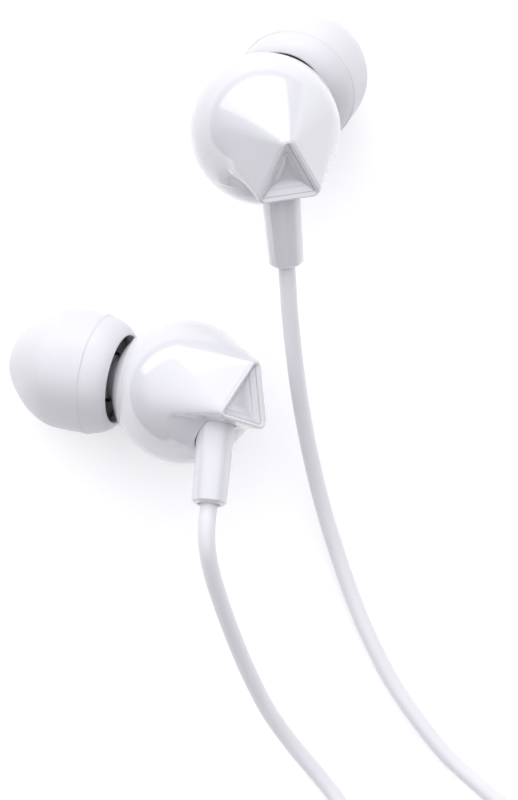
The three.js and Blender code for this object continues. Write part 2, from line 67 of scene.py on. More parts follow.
PLACES = {
    "left": {"side": -1, "centre": (-0.3, -13.0, 8.93), "turn": (-96, 13, -47)},
    "right": {"side": 1, "centre": (7.45, 11.3, 14.46), "turn": (-53, -2, -77)},
}

LEAD_DIAMETER = 1.6
MAIN_DIAMETER = 2.2
COIL_BASE = 0.65

LEFT_COIL = {"centre": (-0.1, -71.6), "enters": -20, "turns": 3.889, "layers": 2, "middle": 8.38}
RIGHT_COIL = {"centre": (26.3, -69.6), "enters": 3, "turns": 3.26, "layers": 2, "middle": 9.61}
MAIN_COIL = {"centre": (-1.6, -98.9), "enters": -90, "turns": 11.54, "layers": 4, "middle": 11.46}

LEFT_LEAD_OUT = [
    (2.1, -25.5, 15.9), (2.15, -27.6, 15.7), (2.55, -29.9, 14.5), (3.3, -32.7, 12.5),
    (4.5, -36.5, 9.7), (6.0, -40.5, 6.8), (7.9, -44.6, 4.1), (10.4, -48.4, 2.1),
    (13.1, -51.8, 1.1), (15.0, -54.4, 0.82), (16.1, -57.1, 0.82), (16.2, -60.1, 0.82),
    (15.1, -63.6, 0.82), (13.0, -67.6, 0.9), (11.2, -71.2, 1.2),
]
LEFT_LEAD_BACK = [
    (11.3, -73.4, 2.9), (13.4, -78.2, 2.0), (15.7, -82.6, 1.1), (16.8, -86.4, 1.2),
]
RIGHT_LEAD_OUT = [
    (9.6, -2.9, 13.2), (9.8, -5.6, 12.0), (10.3, -9.9, 9.7), (10.9, -13.9, 7.5),
    (11.7, -18.0, 5.3), (12.6, -21.9, 3.4), (13.7, -25.9, 2.0), (15.0, -29.9, 1.1),
    (16.4, -33.9, 0.82), (18.1, -37.9, 0.82), (20.2, -42.0, 0.82), (22.9, -46.0, 0.82),
    (26.0, -49.8, 0.82), (29.5, -53.0, 0.82), (32.8, -56.0, 0.82), (35.2, -59.6, 0.82),
    (36.7, -63.8, 0.95),
]
RIGHT_LEAD_BACK = [
    (23.3, -81.1, 2.5), (20.9, -82.7, 1.7), (19.5, -85.2, 1.2), (19.2, -88.0, 1.6),
]
MAIN_CORD_OUT = [
    (18.0, -106.9, 1.8), (17.0, -109.4, 1.5), (14.8, -111.5, 1.5), (11.6, -112.9, 1.6),
    (7.4, -113.6, 1.7), (2.8, -113.8, 1.75),
]
MAIN_CORD_BACK = [
    (7.2, -85.9, 8.3), (12.4, -87.0, 7.9), (17.6, -88.0, 7.1), (22.3, -89.5, 5.6),
    (25.8, -92.2, 4.0), (27.3, -95.7, 3.1),
]

SPLITTER_TOP = Vector((18.1, -90.9, 0))
SPLITTER_LENGTH = 13
SPLITTER_HEIGHT = 4.4
SPLITTER_PORT = 1.1
PLUG_START = Vector((27.7, -99.2, 2.9))

# ---------------------------------------------------------------- camera
CAMERA_HEIGHT = 174.4
CAMERA_OVER = (6.9, -13.8)
FOCAL_IN_FRAME_HEIGHTS = 1724.9 / 800


def make_camera():
    data = bpy.data.cameras.new("camera")
    data.lens = FOCAL_IN_FRAME_HEIGHTS * data.sensor_width
    data.clip_start = 0.01
    camera = bpy.data.objects.new("camera", data)
    camera.location = Vector((*CAMERA_OVER, CAMERA_HEIGHT)) * MM
    bpy.context.scene.collection.objects.link(camera)
    bpy.context.scene.camera = camera


# ---------------------------------------------------------------- frames of the pieces
def place_matrix(place):
    rx, ry, rz = (math.radians(a) for a in place["turn"])
    about_y_and_z = Matrix.Rotation(ry, 4, "Y") @ Matrix.Rotation(rz, 4, "Z")
    rotation = Matrix.Rotation(rx, 4, "X") @ about_y_and_z
    return Matrix.Translation(place["centre"]) @ rotation


def along(axis):
    """The turn that brings +Z onto axis."""
    return Vector((0, 0, 1)).rotation_difference(axis).to_matrix().to_4x4()


def nozzle_matrix(place):
    side = place["side"]
    axis = Vector((-math.cos(NOZZLE_TURN), side * math.sin(NOZZLE_TURN), 0))
    return place_matrix(place) @ along(axis)


def stem_matrix(place):
    down = Vector((math.sin(STEM_LEAN), 0, -math.cos(STEM_LEAN)))
    return place_matrix(place) @ Matrix.Translation(STEM_TOP) @ along(down)


# ---------------------------------------------------------------- cords
def smooth(t):
    t = min(max(t, 0.0), 1.0)
    return t * t * (3 - 2 * t)


def coil_turns(coil, diameter, per_turn=24, climb=0.3):
    """A clockwise coil: each layer spirals by a diameter a turn, and the next lies on it."""
    per_layer = coil["turns"] / coil["layers"]
    span = per_layer * diameter
    steps = math.ceil(coil["turns"] * per_turn)
    points = []
    for i in range(steps + 1):
        t = coil["turns"] * i / steps
        layer = min(int(t / per_layer), coil["layers"] - 1)
        share = t / per_layer - layer
        inwards = 0.5 - share if layer % 2 == 0 else share - 0.5
        radius = coil["middle"] + span * inwards
        climbed = sum(
            smooth((t - k * per_layer) / climb + 0.5) for k in range(1, coil["layers"])
        )
        bearing = math.radians(coil["enters"]) - 2 * math.pi * t
        points.append(
            (
                coil["centre"][0] + radius * math.cos(bearing),
                coil["centre"][1] + radius * math.sin(bearing),
                COIL_BASE + diameter * (0.5 + climbed),
            )
        )
    return points


def smooth_line(points, per_span=8):
    """A centripetal Catmull-Rom line through the points."""
    p = np.array([tuple(q) for q in points], float)
    p = np.vstack([2 * p[0] - p[1], p, 2 * p[-1] - p[-2]])
    line = []
    for i in range(1, len(p) - 2):
        a, b, c, d = p[i - 1 : i + 3]
        t1 = np.linalg.norm(b - a) ** 0.5
        t2 = t1 + np.linalg.norm(c - b) ** 0.5
        t3 = t2 + np.linalg.norm(d - c) ** 0.5
        for t in np.linspace(t1, t2, per_span, endpoint=False):
            ab = ((t1 - t) * a + t * b) / t1
            bc = ((t2 - t) * b + (t - t1) * c) / (t2 - t1)
            cd = ((t3 - t) * c + (t - t2) * d) / (t3 - t2)
            abc = ((t2 - t) * ab + t * bc) / t2
            bcd = ((t3 - t) * bc + (t - t1) * cd) / (t3 - t1)
            line.append(((t2 - t) * abc + (t - t1) * bcd) / (t2 - t1))
    line.append(p[-2])
    return np.array(line)


def make_cord(name, points, diameter, nodes):
    curve = bpy.data.curves.new(name, "CURVE")
    curve.dimensions = "3D"
    curve.bevel_depth = 1.0  # the points' own radius gives the thickness
    curve.bevel_resolution = 6
    curve.use_fill_caps = True
    line = smooth_line(points) * MM
    spline = curve.splines.new("POLY")
    spline.points.add(len(line) - 1)
    spline.points.foreach_set("co", np.column_stack([line, np.ones(len(line))]).ravel())
    spline.points.foreach_set("radius", np.full(len(line), diameter / 2 * MM))
    spline.use_smooth = True
    cord = bpy.data.objects.new(name, curve)
    bpy.context.scene.collection.objects.link(cord)
    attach(cord, "earphones")
    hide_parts(*nodes)
    cord.data.materials.append(MATERIALS["white_cord"])
    return cord


def make_cords():
    port = SPLITTER_TOP + Vector((0, 0.3, SPLITTER_HEIGHT / 2))
    leads = {
        "left": (LEFT_LEAD_OUT, LEFT_COIL, LEFT_LEAD_BACK, -SPLITTER_PORT),
        "right": (RIGHT_LEAD_OUT, RIGHT_COIL, RIGHT_LEAD_BACK, SPLITTER_PORT),
    }
    for name, (out, coil, back, across) in leads.items():
        leaves = stem_matrix(PLACES[name]) @ Vector((0, 0, STEM_LENGTH))
        starts = stem_matrix(PLACES[name]) @ Vector((0, 0, STEM_LENGTH - 0.3))
        turns = coil_turns(coil, LEAD_DIAMETER)
        route = [starts, *out, *turns, *back, port + Vector((across, 0, 0))]
        nodes = [f"{name}_lead", f"{name}_lead_coil", f"{name}_lead_tail"]
        cord = make_cord(f"{name}_lead_cord", route, LEAD_DIAMETER, nodes)
    leaves = SPLITTER_TOP + Vector((0, -SPLITTER_LENGTH - 0.3, SPLITTER_HEIGHT / 2))
    ends = PLUG_START + Vector((0, 0.3, 0))
    turns = coil_turns(MAIN_COIL, MAIN_DIAMETER)
    route = [leaves, *MAIN_CORD_OUT, *turns, *MAIN_CORD_BACK, ends]
    nodes = ["main_cord", "main_cord_coil", "main_cord_tail"]
    cord = make_cord("main_cord_run", route, MAIN_DIAMETER, nodes)


# ---------------------------------------------------------------- materials
MATERIALS = {}


class Shader:
    """A material's node tree, with short ways to add what these finishes share."""

    def __init__(self, name, color, roughness, **values):
        self.material = bpy.data.materials.new(name)
        self.material.use_nodes = True
        self.tree = self.material.node_tree
        self.shader = self.tree.nodes["Principled BSDF"]
        self.set("Base Color", (*color, 1))
        self.set("Roughness", roughness)
        for socket, value in values.items():
            self.set(socket.replace("_", " "), value)
        self.color = color
        self.roughness = roughness
        self.place = self.add("ShaderNodeTexCoord").outputs["Object"]
        self.height = None
        MATERIALS[name] = self.material

    def set(self, socket, value):
        self.shader.inputs[socket].default_value = value

    def add(self, kind, **values):
        node = self.tree.nodes.new(kind)
        for socket, value in values.items():
            node.inputs[socket.replace("_", " ")].default_value = value
        return node

    def join(self, a, b):
        self.tree.links.new(a, b)

    def noise(self, per_mm, detail=3.0, stretch=(1, 1, 1)):
        """A noise with about this many features to a millimetre."""
        scaled = self.add("ShaderNodeMapping", Scale=[per_mm / MM * k for k in stretch])
        self.join(self.place, scaled.inputs["Vector"])
        noise = self.add("ShaderNodeTexNoise", Scale=1.0, Detail=detail)
        self.join(scaled.outputs["Vector"], noise.inputs["Vector"])
        return noise.outputs["Fac"]

    def between(self, factor, low, high, from_low=0.3, from_high=0.7):
        spread = self.add("ShaderNodeMapRange")
        spread.inputs["From Min"].default_value = from_low
        spread.inputs["From Max"].default_value = from_high
        spread.inputs["To Min"].default_value = low
        spread.inputs["To Max"].default_value = high
        self.join(factor, spread.inputs["Value"])
        return spread.outputs["Result"]

    def mottled(self, factor, darker):
        """Lets the colour sink by this share where the factor is low."""
        mix = self.tree.nodes.new("ShaderNodeMix")
        mix.data_type = "RGBA"
        mix.inputs[6].default_value = (*[c * (1 - darker) for c in self.color], 1)
        mix.inputs[7].default_value = (*self.color, 1)
        self.join(self.between(factor, 0, 1), mix.inputs[0])
        self.join(mix.outputs[2], self.shader.inputs["Base Color"])

    def rough(self, factor, spread):
        self.join(
            self.between(factor, self.roughness - spread, self.roughness + spread),
            self.shader.inputs["Roughness"],
        )

    def bump(self, factor, depth_mm, strength=1.0):
        bump = self.add("ShaderNodeBump", Strength=strength, Distance=depth_mm * MM)
        self.join(factor, bump.inputs["Height"])
        if self.height is not None:
            self.join(self.height, bump.inputs["Normal"])
        self.height = bump.outputs["Normal"]
        self.join(self.height, self.shader.inputs["Normal"])


def make_materials():
    shell = Shader("white_shell", (0.71, 0.705, 0.735), 0.12)
    shell.set("Coat Weight", 1.0)
    shell.set("Coat Roughness", 0.03)
    shell.set("Coat IOR", 1.6)
    shell.set("Subsurface Weight", 0.12)
    shell.set("Subsurface Radius", (0.9, 0.8, 0.75))
    shell.set("Subsurface Scale", 0.6 * MM)
    shell.mottled(shell.noise(0.18, 2), 0.02)
    shell.rough(shell.noise(3.0, 5), 0.035)
    shell.bump(shell.noise(0.5, 1), 0.006)
    shell.bump(shell.noise(14, 2), 0.0006)

    silicone = Shader("white_silicone", (0.73, 0.725, 0.75), 0.36)
    silicone.set("Subsurface Weight", 0.3)
    silicone.set("Subsurface Radius", (1.0, 0.92, 0.88))
    silicone.set("Subsurface Scale", 0.9 * MM)
    silicone.mottled(silicone.noise(0.3, 3), 0.025)
    silicone.rough(silicone.noise(2.5, 4), 0.05)
    silicone.bump(silicone.noise(9, 3), 0.0015)

    core = Shader("dark_core", (0.018, 0.018, 0.022), 0.5)
    core.mottled(core.noise(0.8, 3), 0.3)
    core.rough(core.noise(3, 3), 0.08)
    core.bump(core.noise(8, 3), 0.002)

    cord = Shader("white_cord", (0.79, 0.785, 0.81), 0.34)
    cord.set("Subsurface Weight", 0.2)
    cord.set("Subsurface Radius", (1.0, 0.92, 0.88))
    cord.set("Subsurface Scale", 0.5 * MM)
    cord.mottled(cord.noise(0.12, 3), 0.03)
    cord.rough(cord.noise(1.6, 4), 0.06)
    cord.bump(cord.noise(0.35, 2), 0.01)
    cord.bump(cord.noise(10, 3), 0.0015)

    steel = Shader("steel", (0.62, 0.63, 0.65), 0.28, Metallic=1.0)
    steel.mottled(steel.noise(1.5, 4), 0.12)
    steel.rough(steel.noise(6, 4, (1, 1, 0.1)), 0.08)
    steel.bump(steel.noise(12, 2, (1, 1, 0.1)), 0.001)

    magnet = Shader("magnet", (0.50, 0.50, 0.53), 0.22, Metallic=1.0)
    magnet.mottled(magnet.noise(2, 4), 0.15)
    magnet.rough(magnet.noise(4, 4), 0.07)

    copper = Shader("copper", (0.72, 0.33, 0.14), 0.33, Metallic=1.0)
    copper.mottled(copper.noise(2, 2), 0.2)
    copper.bump(copper.noise(16, 1, (0.2, 0.2, 1)), 0.01)

    film = Shader("film", (0.62, 0.55, 0.36), 0.3)
    film.mottled(film.noise(1, 3), 0.1)
    film.bump(film.noise(4, 2), 0.003)

    plastic = Shader("dark_plastic", (0.02, 0.02, 0.023), 0.42)
    plastic.mottled(plastic.noise(2, 3), 0.25)
    plastic.bump(plastic.noise(8, 3), 0.002)

    foam = Shader("foam", (0.05, 0.05, 0.055), 0.9)
    foam.mottled(foam.noise(5, 4), 0.5)
    foam.bump(foam.noise(7, 3), 0.05)

    board = Shader("board", (0.02, 0.15, 0.06), 0.4)
    board.mottled(board.noise(3, 1), 0.35)
    board.bump(board.noise(6, 1), 0.01)

    gold = Shader("gold", (0.83, 0.62, 0.28), 0.2, Metallic=1.0)
    gold.mottled(gold.noise(1.2, 3), 0.06)
    gold.rough(gold.noise(5, 4), 0.05)
    gold.bump(gold.noise(10, 2, (0.1, 0.1, 1)), 0.0008)

    band = Shader("grey_tie", (0.42, 0.42, 0.44), 0.5)
    band.mottled(band.noise(0.8, 3), 0.12)
    band.rough(band.noise(3, 3), 0.08)
    band.bump(band.noise(5, 3), 0.006)

    ground = Shader("paper", (0.78, 0.78, 0.785), 0.75)
    ground.set("Emission Color", (1, 1, 1, 1))
    ground.set("Emission Strength", 0.3)
    ground.mottled(ground.noise(0.05, 4), 0.01)
    ground.bump(ground.noise(2, 4), 0.004)


# ---------------------------------------------------------------- meshes
def link(name, mesh, body, slot, nodes, matrix=Matrix.Identity(4), sharp=35):
    """Puts a mesh made in millimetres into the scene, riding on body in place of the nodes."""
    mesh.transform(Matrix.Scale(MM, 4) @ matrix)
    mesh.shade_smooth()
    mesh.set_sharp_from_angle(angle=math.radians(sharp))
    piece = bpy.data.objects.new(name, mesh)
    bpy.context.scene.collection.objects.link(piece)
    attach(piece, body)
    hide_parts(*nodes)
    mesh.materials.clear()
    mesh.materials.append(MATERIALS[slot])
    return piece


def mesh_from(name, points, faces):
    mesh = bpy.data.meshes.new(name)
    mesh.from_pydata([tuple(p) for p in points], [], faces)
    mesh.validate()
    shape = bmesh.new()
    shape.from_mesh(mesh)
    bmesh.ops.remove_doubles(shape, verts=shape.verts, dist=1e-5)
    bmesh.ops.recalc_face_normals(shape, faces=shape.faces)
    shape.to_mesh(mesh)
    shape.free()
    return mesh


def turned(name, profile, segments=96):
    """A closed profile of (radius, height) turned about +Z; it may start and end on the axis."""
    on_axis = profile[0][0] == 0
    points, faces = [], []
    for i in range(segments):
        angle = 2 * math.pi * i / segments
        for radius, height in profile:
            points.append((radius * math.cos(angle), radius * math.sin(angle), height))
    n = len(profile)
    for i in range(segments):
        a, b = i * n, ((i + 1) % segments) * n
        for k in range(n - 1 if on_axis else n):
            k2 = (k + 1) % n
            faces.append((a + k, a + k2, b + k2, b + k))
    return mesh_from(name, points, faces)


def rounded(corners, radius, steps=5):
    """The profile with each corner turned into a small arc; a corner may name its own radius."""
    result = []
    n = len(corners)
    for i, corner in enumerate(corners):
        here = Vector(corner[:2])
        own = corner[2] if len(corner) > 2 else radius
        before = Vector(corners[i - 1][:2]) - here
        after = Vector(corners[(i + 1) % n][:2]) - here
        ends = corners[0][0] == 0 and i in (0, n - 1)
        cosine = max(-1.0, min(1.0, before.normalized().dot(after.normalized())))
        half = math.acos(cosine) / 2
        if ends or own == 0 or half > math.radians(88):
            result.append(tuple(here))
            continue
        reach = min(own / math.tan(half), before.length * 0.48, after.length * 0.48)
        real = reach * math.tan(half)
        start = here + before.normalized() * reach
        end = here + after.normalized() * reach
        middle = here + (before.normalized() + after.normalized()).normalized() * (
            real / math.sin(half)
        )
        for k in range(steps + 1):
            share = k / steps
            spoke = (start - middle).lerp(end - middle, share).normalized() * real
            result.append(tuple(middle + spoke))
    return result


def cut(mesh, cutters):
    """The mesh less each cutter, all in the same frame."""
    piece = bpy.data.objects.new("cut", mesh)
    bpy.context.scene.collection.objects.link(piece)
    tools = []
    for cutter in cutters:
        tool = bpy.data.objects.new("cutter", cutter)
        bpy.context.scene.collection.objects.link(tool)
        tools.append(tool)
        step = piece.modifiers.new("cut", "BOOLEAN")
        step.operation = "DIFFERENCE"
        step.solver = "EXACT"
        step.object = tool
    bpy.context.view_layer.update()
    done = bpy.data.meshes.new_from_object(
        piece.evaluated_get(bpy.context.evaluated_depsgraph_get())
    )
    for used in [piece, *tools]:
        bpy.data.objects.remove(used)
    return done


# ---------------------------------------------------------------- housing
KEEL_EDGE = 0.25
FILLET = (0.9, 0.2)  # on the nozzle side, and on the other
FOLD_EDGE = 0.1
FOLD_START = 5.0
FOLD_FADE = 1.5
# how far the hull has sunk to the ball behind the fold, by bearing below the level
WORN_BEARING = (np.radians((-25, 5, 28, 100, 125)), (0, 0.35, 1, 1, 0))
# along x: the fold's bearing below the level, and where its underside meets the keel
FOLD_BEARING = ((5.0, 6.2, 7.0, 7.8, 8.5, 9.2, 9.4), (5, 7.5, 9.5, 15, 22, 31, 37))
FOLD_FOOT = ((5.0, 6.4, 8.3, 9.2, 9.4), (3.6, 2.2, 2.4, 2.85, 3.0))
RIM_ROUNDING = 0.16
RIM_WIDTH = 0.2
RIM_FALL = 0.24
CAP_INSET = 0.45
CAP_POCKET_X = 7.9
CAVITY_INSET = 1.45
CAVITY_REACH = 7.0
NEVER = 1e3  # a radius so large that it never cuts

FINE = np.linspace(-math.pi, math.pi, 14401)
AROUND = np.linspace(0, 2 * math.pi, 288, endpoint=False)


def triangle_corners(radius_lost=0.0):
    """Centres of the beak's rounded corners in (y, z), and their radius, when set in."""
    half_apex = math.atan2(BEAK_BASE / 2, BEAK_HEIGHT)
    radius = max(BEAK_CORNER_RADIUS - radius_lost, 0.08)
    reach = radius_lost + radius
    top = BEAK_LOW_Z + BEAK_HEIGHT - reach / math.sin(half_apex)
    low = BEAK_LOW_Z + reach
    side = (top - low) * math.tan(half_apex)
    return [(0, top), (-side, low), (side, low)], radius


def triangle_support(angles, inset=0.0):
    corners, radius = triangle_corners(inset)
    reach = [c[0] * np.cos(angles) + c[1] * np.sin(angles) for c in corners]
    return np.max(reach, axis=0) + radius


def section_support(angles, x, ball_radius, inset, reach):
    """Support of the hull of the ball and the beak's triangle, cut across at x."""
    height = triangle_support(angles, inset)
    lean = np.arctan2(height, reach) + np.arccos(ball_radius / np.hypot(reach, height))
    on_ball_x = ball_radius * np.cos(lean)
    on_ball = ball_radius * np.sin(lean)
    share = np.clip((x - on_ball_x) / (reach - on_ball_x), 0, 1)
    ruled = on_ball + share * (height - on_ball)
    ball = math.sqrt(max(ball_radius**2 - x**2, 0.0))
    return np.where(x <= on_ball_x, ball, ruled)


def polar(support, angles, at):
    """Turns a support function into radius at the given bearings."""
    slope = np.gradient(support, angles)
    y = support * np.cos(angles) - slope * np.sin(angles)
    z = support * np.sin(angles) + slope * np.cos(angles)
    bearing = np.unwrap(np.arctan2(z, y))
    order = np.argsort(bearing)
    bearing, y, z = bearing[order], y[order], z[order]
    shifted = (at - bearing[0]) % (2 * math.pi) + bearing[0]
    i = np.clip(np.searchsorted(bearing, shifted), 1, len(bearing) - 1)
    across_y, across_z = y[i] - y[i - 1], z[i] - z[i - 1]
    # the ray at this bearing meets the chord between the two neighbouring points
    meets = y[i - 1] * across_z - z[i - 1] * across_y
    facing = np.cos(at) * across_z - np.sin(at) * across_y
    return meets / np.where(np.abs(facing) < 1e-9, 1e-9, facing)


def hull_radius(x, ball_radius=BALL_RADIUS, inset=0.0, reach=BEAK_REACH):
    return polar(section_support(FINE, x, ball_radius, inset, reach), FINE, AROUND)


def softly_less(a, b, width):
    """The lesser of the two, with the corner between them rounded."""
    return (a + b - np.sqrt((a - b) ** 2 + width**2)) / 2


def scooped(x, beak, side):
    """The beak's section with its lower corner away from the nozzle cut back under a fold."""
    away = -side
    bearing = math.radians(np.interp(x, *FOLD_BEARING))
    across = np.arctan2(np.sin(AROUND), np.cos(AROUND) * away)
    fold_radius = np.interp(-bearing, *sorted_by_bearing(across, beak))
    fold = fold_radius * np.array([math.cos(bearing), -math.sin(bearing)])
    foot = np.array([np.interp(x, *FOLD_FOOT), keel_height(x)])
    edge = foot - fold
    turn = np.cos(across) * edge[1] - np.sin(across) * edge[0]
    reach = (fold[0] * edge[1] - fold[1] * edge[0]) / np.where(np.abs(turn) < 1e-6, 1e-6, turn)
    flat = np.where((reach > 0) & (np.abs(across + 0.6) < 1.2), reach, NEVER)
    return softly_less(beak, flat, FOLD_EDGE)


def sorted_by_bearing(across, radius):
    order = np.argsort(across)
    return across[order], radius[order]


def keel_height(x):
    return BEAK_LOW_Z - (BEAK_REACH - x) * math.tan(KEEL_SLOPE)


def outer_radius(x, side):
    """The housing's radius about its long axis, at x, for every bearing round it."""
    hull = hull_radius(x)
    ball = math.sqrt(max(BALL_RADIUS**2 - x**2, 0.0))
    if x <= -2:
        return np.full_like(hull, ball)
    below = np.sin(AROUND) < -0.05
    keel = np.where(below, keel_height(x) / np.minimum(np.sin(AROUND), -0.05), NEVER)
    uncut = np.where(below, softly_less(hull, keel, KEEL_EDGE), hull)
    cut_back = smooth((x - FOLD_START) / FOLD_FADE)
    lower = np.arctan2(-np.sin(AROUND), -side * np.cos(AROUND))
    worn = np.interp(lower, *WORN_BEARING)
    beak = uncut - np.maximum(uncut - ball, 0) * worn
    if cut_back > 0:
        beak = beak * (1 - cut_back) + scooped(x, uncut, side) * cut_back
    gap = beak - ball
    fillet = np.interp(-side * np.cos(AROUND), (-0.2, 0.5), FILLET) * smooth((BEAK_REACH - x) / 2)
    under = ball + (gap + np.sqrt(gap * gap + fillet * fillet)) / 2
    share = np.clip(-np.sin(AROUND) * 3 - 0.2, 0, 1)
    share = share * share * (3 - 2 * share) * smooth((x + 2) / 3)
    whole = np.maximum(beak, ball)
    return whole * (1 - share) + np.minimum(under, np.maximum(hull, ball)) * share


def ring(x, radius):
    y, z = radius * np.cos(AROUND), radius * np.sin(AROUND)
    return np.column_stack([np.full_like(AROUND, x), y, z])


def housing_mesh(side):
    """The closed outer skin, with the triangular pocket in the beak's end."""
    rows = []
    for t in np.linspace(0.01, 1, 60):
        x = -BALL_RADIUS * math.cos(t * math.pi / 2)
        rows.append(ring(x, outer_radius(x, side)))
    for x in np.linspace(0, BEAK_REACH - RIM_ROUNDING, 110)[1:]:
        rows.append(ring(x, outer_radius(x, side)))
    for t in np.linspace(0, math.pi / 2, 7)[1:]:
        x = BEAK_REACH - RIM_ROUNDING * (1 - math.sin(t))
        inset = RIM_ROUNDING * (1 - math.cos(t))
        rows.append(ring(x, polar(triangle_support(FINE, inset), FINE, AROUND)))
    bevel = [(RIM_WIDTH, 0.0), (RIM_WIDTH + 0.05, 0.03), (CAP_INSET, RIM_FALL)]
    for inset, fall in bevel:
        rows.append(ring(BEAK_REACH - fall, polar(triangle_support(FINE, inset), FINE, AROUND)))
    pocket = polar(triangle_support(FINE, CAP_INSET), FINE, AROUND)
    rows.append(ring(CAP_POCKET_X, pocket))
    return close_rows("housing", rows)


def close_rows(name, rows):
    """A closed skin through rings of equal count, shut by a fan at each end."""
    n = len(AROUND)
    points = [tuple(p) for row in rows for p in row]
    faces = []
    for i in range(len(rows) - 1):
        for k in range(n):
            k2 = (k + 1) % n
            faces.append((i * n + k, i * n + k2, (i + 1) * n + k2, (i + 1) * n + k))
    for first, row in ((0, rows[0]), ((len(rows) - 1) * n, rows[-1])):
        points.append(tuple(row.mean(axis=0)))
        for k in range(n):
            faces.append((first + k, first + (k + 1) % n, len(points) - 1))
    return mesh_from(name, points, faces)


def cavity_mesh():
    rows = []
    for t in np.linspace(0.02, 1, 20):
        x = -CAVITY_RADIUS * math.cos(t * math.pi / 2)
        rows.append(ring(x, hull_radius(x, CAVITY_RADIUS, CAVITY_INSET, CAVITY_REACH)))
    for x in np.linspace(0, CAVITY_REACH, 24)[1:]:
        rows.append(ring(x, hull_radius(x, CAVITY_RADIUS, CAVITY_INSET, CAVITY_REACH)))
    return close_rows("cavity", rows)


def box_mesh(name, low, high):
    xs, ys, zs = zip(low, high)
    corners = [(x, y, z) for x in xs for y in ys for z in zs]
    ends = [(0, 1, 3, 2), (4, 6, 7, 5)]
    sides = [(0, 4, 5, 1), (2, 3, 7, 6), (0, 2, 6, 4), (1, 5, 7, 3)]
    faces = ends + sides
    return mesh_from(name, corners, faces)


def local_nozzle(side):
    axis = Vector((-math.cos(NOZZLE_TURN), side * math.sin(NOZZLE_TURN), 0))
    return along(axis)


def local_stem():
    down = Vector((math.sin(STEM_LEAN), 0, -math.cos(STEM_LEAN)))
    return Matrix.Translation(STEM_TOP) @ along(down)


SEAM_GAP = 0.012  # each shell stands back from the seam by this


def rear_shell(side):
    ahead = box_mesh("ahead", (-20, -20, FRONT_SEAM - SEAM_GAP), (20, 20, 20))
    ahead.transform(local_nozzle(side))
    bore = turned("bore", [
        (0, -1.6), (STEM_TOP_RADIUS + 0.03, -1.6), (STEM_TOP_RADIUS - 0.04, 9), (0, 9),
    ])
    bore.transform(local_stem())
    return cut(housing_mesh(side), [cavity_mesh(), ahead, bore])


# how far in and how deep the dish's wall, its sharp lip and its hollow floor are
CAP_WALLS = [
    (0.47, -0.30), (0.49, -0.28), (0.62, -0.42), (0.86, -0.66), (0.89, -0.70),
    (0.92, -0.82), (0.98, -0.88), (1.15, -0.96), (1.35, -1.03), (1.55, -1.08), (1.75, -1.1),
]


def triangle_cap():
    """The dished triangle in the beak's end: a flat floor and softly curved walls."""
    foot = polar(triangle_support(FINE, CAP_INSET + 0.02), FINE, AROUND)
    rows = [ring(CAP_POCKET_X + 0.02, foot)]
    for inset, depth in CAP_WALLS:
        rows.append(ring(BEAK_REACH + depth, polar(triangle_support(FINE, inset), FINE, AROUND)))
    return close_rows("cap", rows)


# ---------------------------------------------------------------- turned pieces
PARTING = 8.75  # where the ear tip's moulds part, along its axis
# how far each ear tip's loose rim leans, in the whole object's frame
SKIRT_LEAN = {"left": (0, 0, 0), "right": (-0.40, 0.46, 0)}


def stem_mesh():
    bore = LEAD_DIAMETER / 2 + 0.05
    end = STEM_LENGTH
    outside = [(STEM_TOP_RADIUS, -0.6), (STEM_END_RADIUS + 0.03, end - 0.25, 0.12)]
    lip = [(STEM_END_RADIUS - 0.22, end, 0.08), (bore + 0.28, end, 0.05)]
    inside = [(bore + 0.2, end - 0.35, 0.05), (bore, end - 0.4, 0.05)]
    return turned("stem", rounded([(bore, -0.6), *outside, *lip, *inside], 0.05))


def on_ball(radius, height):
    return (math.sqrt(radius**2 - height**2), height)


def front_shell_mesh():
    base = FRONT_SEAM + SEAM_GAP
    outer = [on_ball(BALL_RADIUS, h) for h in np.linspace(base, 6.25, 14)]
    inner = [on_ball(CAVITY_RADIUS, h) for h in np.linspace(5.5, base, 6)]
    nozzle = [(2.55, 6.7, 0.3), (2.2, 7.1, 0.3), (2.2, 12.1)]
    barb = [(2.4, 12.3), (2.4, 12.7), (2.2, 13.1)]
    bore = [(1.8, 13.1), (1.8, 12.3), (1.5, 12.3), (1.5, 6.1)]
    return turned("front_shell", rounded([*outer, *nozzle, *barb, *bore, *inner], 0.04))


def spline_profile(points, per_span=6):
    """A smooth profile through (radius, height) points."""
    flat = smooth_line([(r, h, 0) for r, h in points], per_span)
    return [(p[0], p[1]) for p in flat]


def dome_mesh(lean):
    """The ear tip's soft dome, with the fine raised line where its moulds part.

    The loose skirt behind that line leans sideways by lean at its rim."""
    rim = [(4.27, 6.66), (4.29, 6.42), (4.34, 6.34), (4.42, 6.32), (4.5, 6.35), (4.54, 6.38)]
    skirt = spline_profile([
        (4.54, 6.38), (4.92, 6.66), (5.22, 7.0), (5.50, 7.5), (5.70, 8.05),
        (5.82, PARTING - 0.09),
    ])
    line = [(5.83, PARTING - 0.08), (5.93, PARTING - 0.03), (5.94, PARTING + 0.03)]
    dome = spline_profile([
        (5.86, PARTING + 0.08), (5.91, 9.6), (5.95, 10.4), (5.955, 11.1), (5.95, 11.9),
        (5.86, 12.75), (5.58, 13.6), (5.1, 14.5), (4.5, 15.3), (3.8, 16.05), (3.1, 16.7),
        (2.65, 17.05), (2.3, 17.28), (2.05, 17.38), (1.85, 17.36), (1.72, 17.22),
    ])
    inside = spline_profile([
        (1.7, 13.9), (2.6, 13.9), (3.9, 13.75), (4.6, 13.0), (5.0, 12.0), (5.12, 11.0), (5.05, 9.8),
        (4.85, 8.5), (4.58, 7.6), (4.27, 6.66),
    ])
    mesh = turned("dome", [*rim, *skirt[1:], *line, *dome, *inside[:-1]], 160)
    for point in mesh.vertices:
        share = max(0.0, (PARTING - 0.1 - point.co.z) / (PARTING - 0.1 - 6.3))
        point.co += lean * share**1.5
    return mesh


